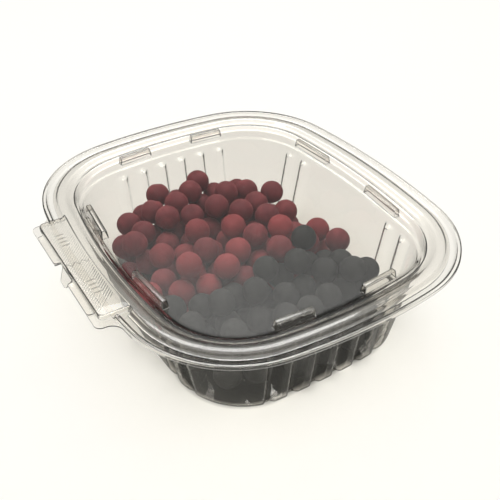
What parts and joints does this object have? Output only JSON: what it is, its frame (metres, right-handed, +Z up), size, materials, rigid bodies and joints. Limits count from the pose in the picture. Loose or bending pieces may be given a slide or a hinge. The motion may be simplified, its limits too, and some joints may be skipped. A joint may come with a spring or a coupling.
{
  "type": "plastic clamshell pack",
  "caption": "Clear hinged plastic food pack, closed: ribbed tray, wide lipped rim, lid with stacking lugs and tear tab, holding a heap of red and black berries.",
  "frame": {"origin": "middle of the tray's foot, on the table", "axes": "+X from the hinge side to the opposite side, +Y along the hinge, +Z up"},
  "size_m": [0.1714, 0.189, 0.053],
  "materials": {
    "clear_sheet": "clear glossy formed sheet",
    "red_berry": "matte, velvety",
    "black_berry": "matte, finely bumpy"
  },
  "bodies": {
    "tray_body": {"tray": "clear_sheet", "red_berries": "red_berry", "black_berries": "black_berry"},
    "lid_body": {"lid": "clear_sheet"}
  },
  "joints": [
    {"name": "lid_hinge", "type": "hinge", "parent": "tray_body", "child": "lid_body", "pos_m": [-0.0888, 0, 0.04995], "axis": [0, -1, 0], "range_deg": [0, 180]}
  ]
}
